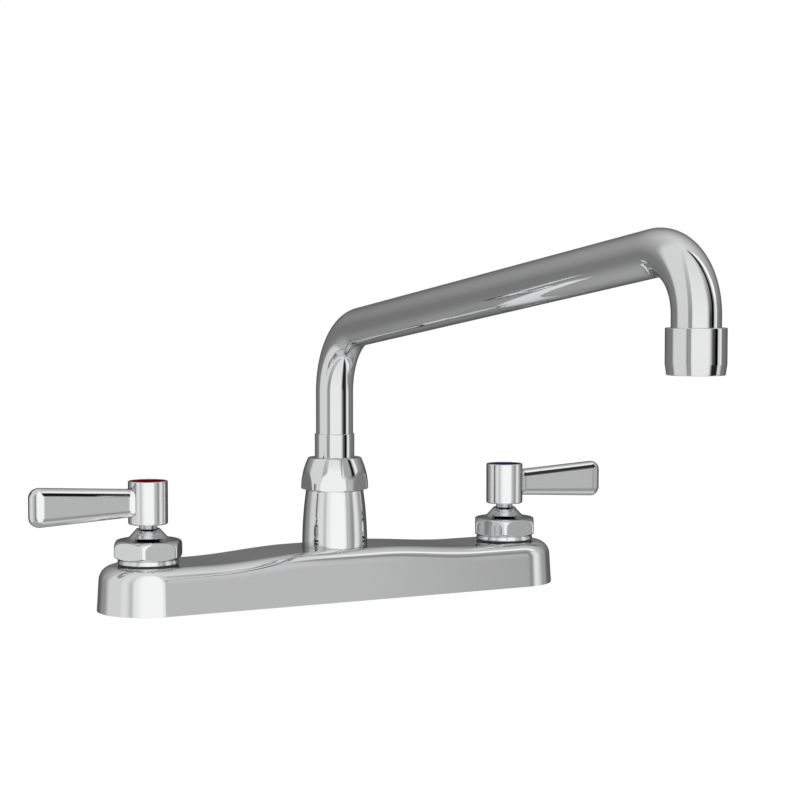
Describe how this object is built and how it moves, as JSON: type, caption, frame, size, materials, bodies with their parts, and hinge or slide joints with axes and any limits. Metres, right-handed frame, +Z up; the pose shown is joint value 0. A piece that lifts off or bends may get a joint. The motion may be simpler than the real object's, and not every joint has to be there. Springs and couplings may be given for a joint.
{
  "type": "two-handle basin faucet",
  "caption": "Deck faucet with a swinging slanted tube spout on a centre pillar, paddle lever handles on hexagonal bonnets, ceramic disc valves and an aerator.",
  "frame": {"origin": "centre of the base's underside, on the deck, below the pillar's axis", "axes": "+Z up from the deck, -Y out along the spout at rest, +X towards the cold handle, which is on the right for someone at the sink"},
  "size_m": [0.3236, 0.3417, 0.1802],
  "materials": {
    "chrome_plate": "mirror-bright chromium plate over brass",
    "cartridge_brass": "machined brass",
    "stem_steel": "fine-turned stainless steel",
    "black_rubber": "matt black nitrile rubber",
    "black_fibre": "dark compressed fibre",
    "ceramic": "lapped white alumina",
    "white_acetal": "moulded acetal",
    "red_index": "deep red moulded plastic, glossy",
    "blue_index": "deep blue moulded plastic, glossy"
  },
  "bodies": {
    "body": {"deck_body": "chrome_plate", "deck_gasket": "black_rubber", "spout_pillar": "chrome_plate", "hot_bonnet": "chrome_plate", "hot_bonnet_washer": "black_fibre", "hot_cartridge_body": "cartridge_brass", "hot_cartridge_o_ring": "black_rubber", "hot_seat_seal": "black_rubber", "hot_fixed_disc": "ceramic", "cold_bonnet": "chrome_plate", "cold_bonnet_washer": "black_fibre", "cold_cartridge_body": "cartridge_brass", "cold_cartridge_o_ring": "black_rubber", "cold_seat_seal": "black_rubber", "cold_fixed_disc": "ceramic", "spout_nut": "chrome_plate", "spout_lower_slip_ring": "white_acetal", "spout_upper_slip_ring": "white_acetal"},
    "spout": {"spout_sleeve": "chrome_plate", "spout_upper_o_ring": "black_rubber", "spout_lower_o_ring": "black_rubber", "spout_tube": "chrome_plate", "outlet_adapter": "cartridge_brass", "aerator_washer": "black_rubber", "aerator_screen": "stem_steel", "aerator_insert": "white_acetal", "aerator_shell": "chrome_plate"},
    "hot_handle": {"hot_moving_disc": "ceramic", "hot_stem": "stem_steel", "hot_stem_o_ring": "black_rubber", "hot_handle": "chrome_plate", "hot_handle_screw": "stem_steel", "hot_index_button": "red_index"},
    "cold_handle": {"cold_moving_disc": "ceramic", "cold_stem": "stem_steel", "cold_stem_o_ring": "black_rubber", "cold_handle": "chrome_plate", "cold_handle_screw": "stem_steel", "cold_index_button": "blue_index"}
  },
  "joints": [
    {"name": "spout_swing", "type": "hinge", "parent": "body", "child": "spout", "pos_m": [0, 0, 0], "axis": [0, 0, 1], "continuous": true},
    {"name": "hot_handle_turn", "type": "hinge", "parent": "body", "child": "hot_handle", "pos_m": [-0.1016, 0, 0], "axis": [0, 0, 1], "range_deg": [0, 90]},
    {"name": "cold_handle_turn", "type": "hinge", "parent": "body", "child": "cold_handle", "pos_m": [0.1016, 0, 0], "axis": [0, 0, 1], "range_deg": [-90, 0]}
  ]
}
